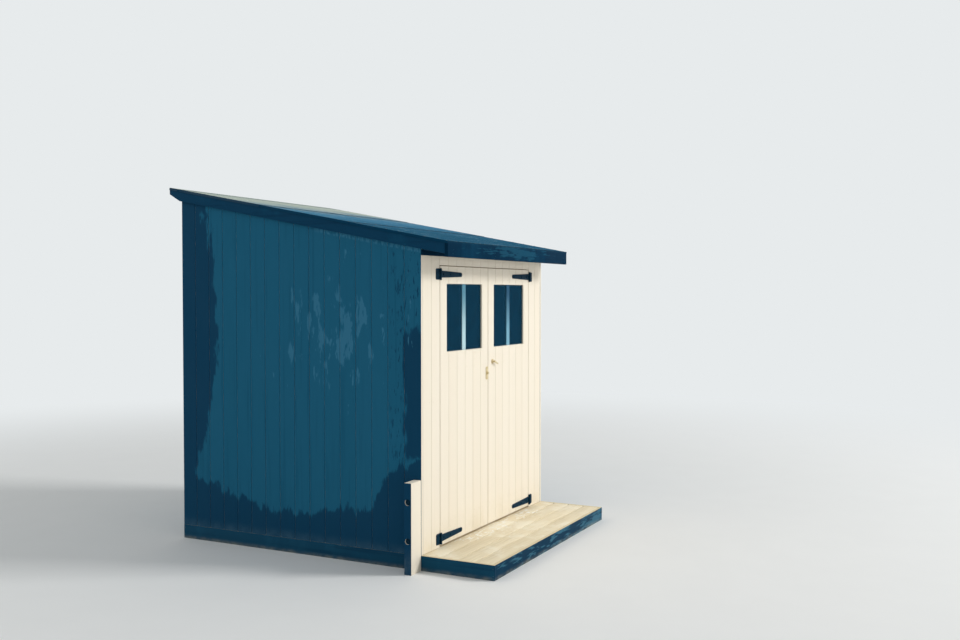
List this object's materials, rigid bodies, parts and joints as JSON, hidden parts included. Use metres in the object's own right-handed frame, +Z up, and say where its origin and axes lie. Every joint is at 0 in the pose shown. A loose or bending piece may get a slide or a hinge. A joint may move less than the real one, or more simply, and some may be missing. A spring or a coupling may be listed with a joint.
{
  "type": "beach hut",
  "caption": "Small wooden beach hut: boarded walls, roof falling to the front, a glazed pair of doors on iron T-hinges, low timber raft with an apron.",
  "frame": {"origin": "on the ground, under the middle of the walls' plan, on the underside of the middle bearer", "axes": "+Z up, -Y the way the doors face, +X to the right of someone who looks at the doors"},
  "size_m": [1.945, 2.433, 2.3762],
  "materials": {
    "side_paint": "dark blue-green paint on boards, matt, weathered",
    "front_paint": "cream paint on boards, eggshell",
    "trim_paint": "navy paint, matt, weathered",
    "deck_wood": "bare planed softwood, bleached",
    "frame_wood": "bare sawn softwood",
    "roof_felt": "mineral roofing felt, rough",
    "glass": "clear window glass",
    "iron": "black-blue painted iron, satin",
    "brass": "dull brass"
  },
  "bodies": {
    "hut": {"base_bearers": "frame_wood", "base_rim_left": "trim_paint", "base_rim_right": "trim_paint", "base_rim_front": "trim_paint", "base_rim_back": "trim_paint", "apron_deck": "deck_wood", "floor_deck": "deck_wood", "left_wall": "side_paint", "right_wall": "side_paint", "back_wall": "side_paint", "front_wall_left": "front_paint", "front_wall_right": "front_paint", "front_wall_top": "front_paint", "front_frieze": "trim_paint", "corner_posts": "frame_wood", "door_posts": "frame_wood", "front_plate": "frame_wood", "back_plate": "frame_wood", "door_stops": "frame_wood", "threshold": "frame_wood", "wall_rails": "frame_wood", "rafters": "trim_paint", "eaves_blocks": "trim_paint", "roof_boards": "frame_wood", "roof_felt": "roof_felt", "left_bargeboard": "trim_paint", "right_bargeboard": "trim_paint", "front_fascia": "trim_paint", "back_fascia": "trim_paint", "anchor_post": "front_paint", "left_hinge_plates": "iron", "right_hinge_plates": "iron"},
    "left_door": {"left_door_leaf": "front_paint", "left_door_ledges": "frame_wood", "left_door_glass": "glass", "left_door_beads": "front_paint", "left_door_straps": "iron", "lock_plate": "brass"},
    "right_door": {"right_door_leaf": "front_paint", "right_door_ledges": "frame_wood", "right_door_glass": "glass", "right_door_beads": "front_paint", "right_door_straps": "iron", "door_lever": "brass"}
  },
  "joints": [
    {"name": "left_door_hinge", "type": "hinge", "parent": "hut", "child": "left_door", "pos_m": [-0.669, -0.938, 0.962], "axis": [0, 0, -1], "range_deg": [0, 165]},
    {"name": "right_door_hinge", "type": "hinge", "parent": "hut", "child": "right_door", "pos_m": [0.669, -0.938, 0.962], "axis": [0, 0, 1], "range_deg": [0, 165]}
  ]
}
